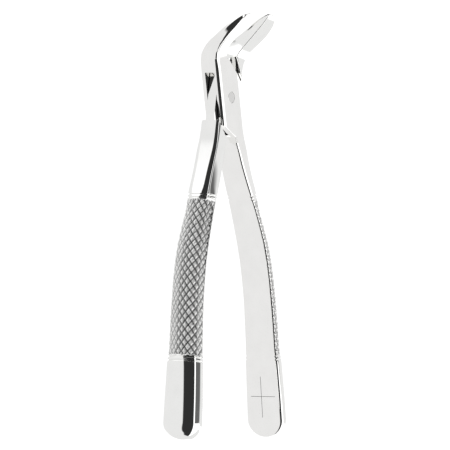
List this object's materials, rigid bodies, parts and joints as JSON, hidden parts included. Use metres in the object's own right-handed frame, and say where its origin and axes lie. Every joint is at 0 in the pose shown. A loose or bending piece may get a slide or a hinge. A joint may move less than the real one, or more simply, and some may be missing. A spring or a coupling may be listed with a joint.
{
  "type": "dental extraction forceps",
  "caption": "Steel tooth extraction forceps with a box joint, beaks bent out of the flat with hollow inner faces, and long curved handles with a rounded outer side.",
  "frame": {"origin": "on the hinge axis, at the flat underside of the joint, which is the side away from the bent beaks", "axes": "+Y along the tool towards the beaks, +Z along the hinge axis towards the side the beaks bend to, X is the opening direction"},
  "size_m": [0.0688, 0.1656, 0.0247],
  "materials": {
    "steel_slotted": "mirror polished stainless steel",
    "steel_tongue": "mirror polished stainless steel",
    "steel_pin": "ground and polished flush"
  },
  "bodies": {
    "slotted_side": {"slotted_half": "steel_slotted", "pivot_pin": "steel_pin"},
    "tongue_side": {"tongue_half": "steel_tongue"}
  },
  "joints": [
    {"name": "pivot", "type": "hinge", "parent": "slotted_side", "child": "tongue_side", "pos_m": [0, 0, 0.00455], "axis": [0, 0, 1], "range_deg": [-9, 20.6]}
  ]
}
